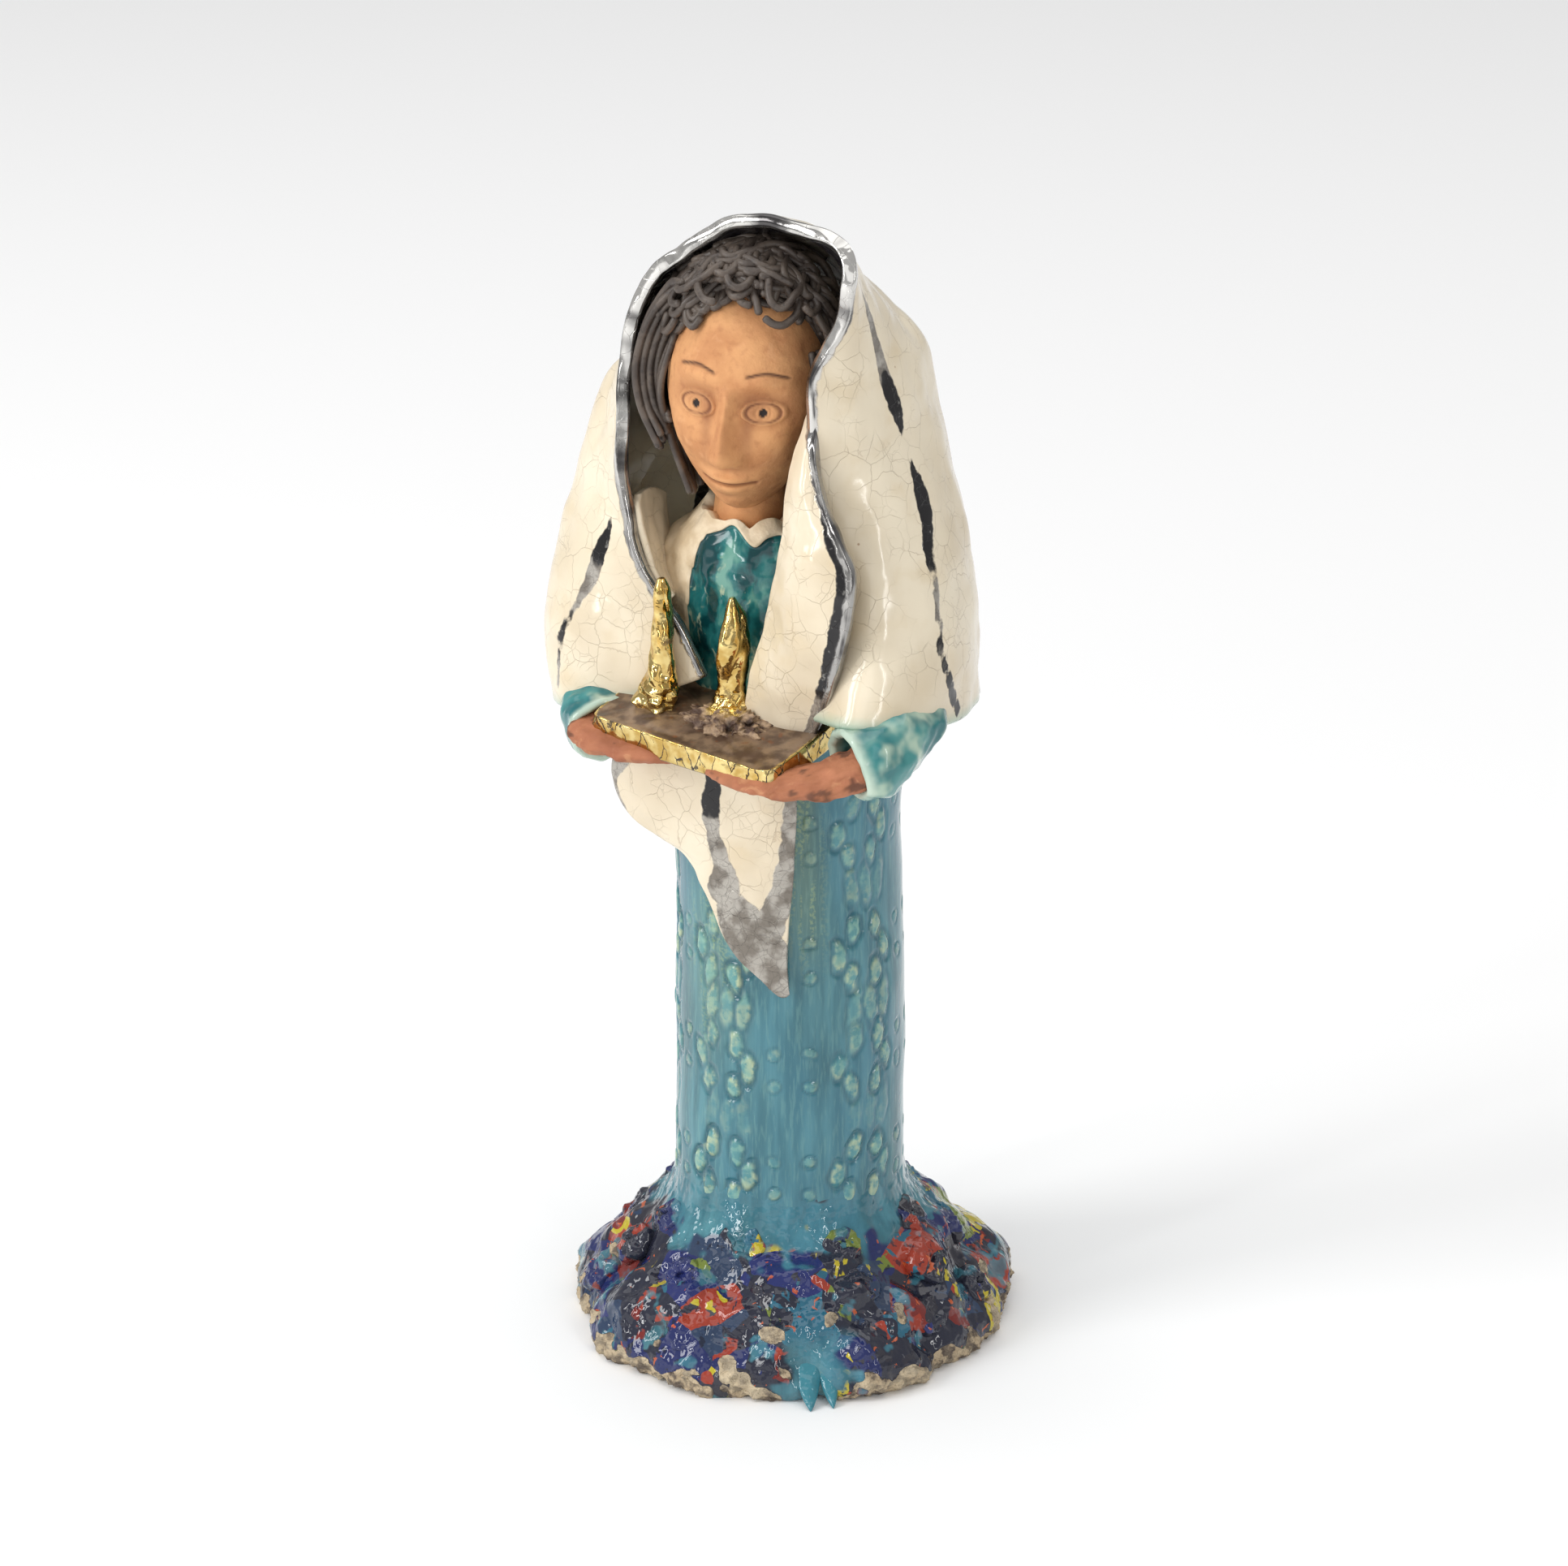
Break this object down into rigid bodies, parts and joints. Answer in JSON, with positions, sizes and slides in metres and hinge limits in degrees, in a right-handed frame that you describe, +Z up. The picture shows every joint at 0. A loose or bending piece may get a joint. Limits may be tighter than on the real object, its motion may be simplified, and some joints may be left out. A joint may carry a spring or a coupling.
{
  "type": "clay figurine",
  "caption": "Hand-built glazed clay figurine of a hooded woman on a flowered mound, holding a small tray with two candlesticks.",
  "frame": {"origin": "centre of the footprint of the whole figurine, on the surface it stands on", "axes": "+Z up along the dress tube, -Y the way the figure faces, +X towards the figure's own left hand"},
  "size_m": [0.1182, 0.1082, 0.3027],
  "materials": {
    "flower_glaze": "glossy",
    "mound_glaze": "glossy",
    "turquoise_glaze": "glossy",
    "terracotta": "matte",
    "hand_clay": "matte",
    "hair_clay": "satin",
    "cream_glaze": "glossy",
    "gold_lustre": "polished",
    "tray_clay": "satin"
  },
  "bodies": {
    "root": {"base_flower_01": "flower_glaze", "base_flower_02": "flower_glaze", "base_flower_03": "flower_glaze", "base_flower_04": "flower_glaze", "base_flower_05": "flower_glaze", "base_flower_06": "flower_glaze", "base_flower_07": "flower_glaze", "base_flower_08": "flower_glaze", "base_flower_09": "flower_glaze", "base_flower_10": "flower_glaze", "base_flower_11": "flower_glaze", "base_flower_12": "flower_glaze", "base_flower_13": "flower_glaze", "base_flower_14": "flower_glaze", "base_flower_15": "flower_glaze", "base_flower_16": "flower_glaze", "base_flower_17": "flower_glaze", "base_flower_18": "flower_glaze", "base_flower_19": "flower_glaze", "base_flower_20": "flower_glaze", "base_flower_21": "flower_glaze", "base_flower_22": "flower_glaze", "base_flower_23": "flower_glaze", "base_flower_24": "flower_glaze", "base_flower_25": "flower_glaze", "base_flower_26": "flower_glaze", "base_flower_27": "flower_glaze", "base_flower_28": "flower_glaze", "base_flower_29": "flower_glaze", "base_flower_30": "flower_glaze", "base_flower_31": "flower_glaze", "base_flower_32": "flower_glaze", "base_flower_33": "flower_glaze", "base_mound": "mound_glaze", "bodice": "turquoise_glaze", "candlestick_bedding": "tray_clay", "candlestick_left": "gold_lustre", "candlestick_right": "gold_lustre", "dress_tube": "turquoise_glaze", "hair_crown": "hair_clay", "hair_lock_left": "hair_clay", "hair_lock_right": "hair_clay", "hair_nape": "hair_clay", "hand_left": "hand_clay", "hand_right": "hand_clay", "head": "terracotta", "shawl_lapel": "cream_glaze", "shawl_mantle": "cream_glaze", "shawl_tail": "cream_glaze", "sleeve_left": "turquoise_glaze", "sleeve_right": "turquoise_glaze", "tray": "tray_clay"}
  },
  "joints": []
}
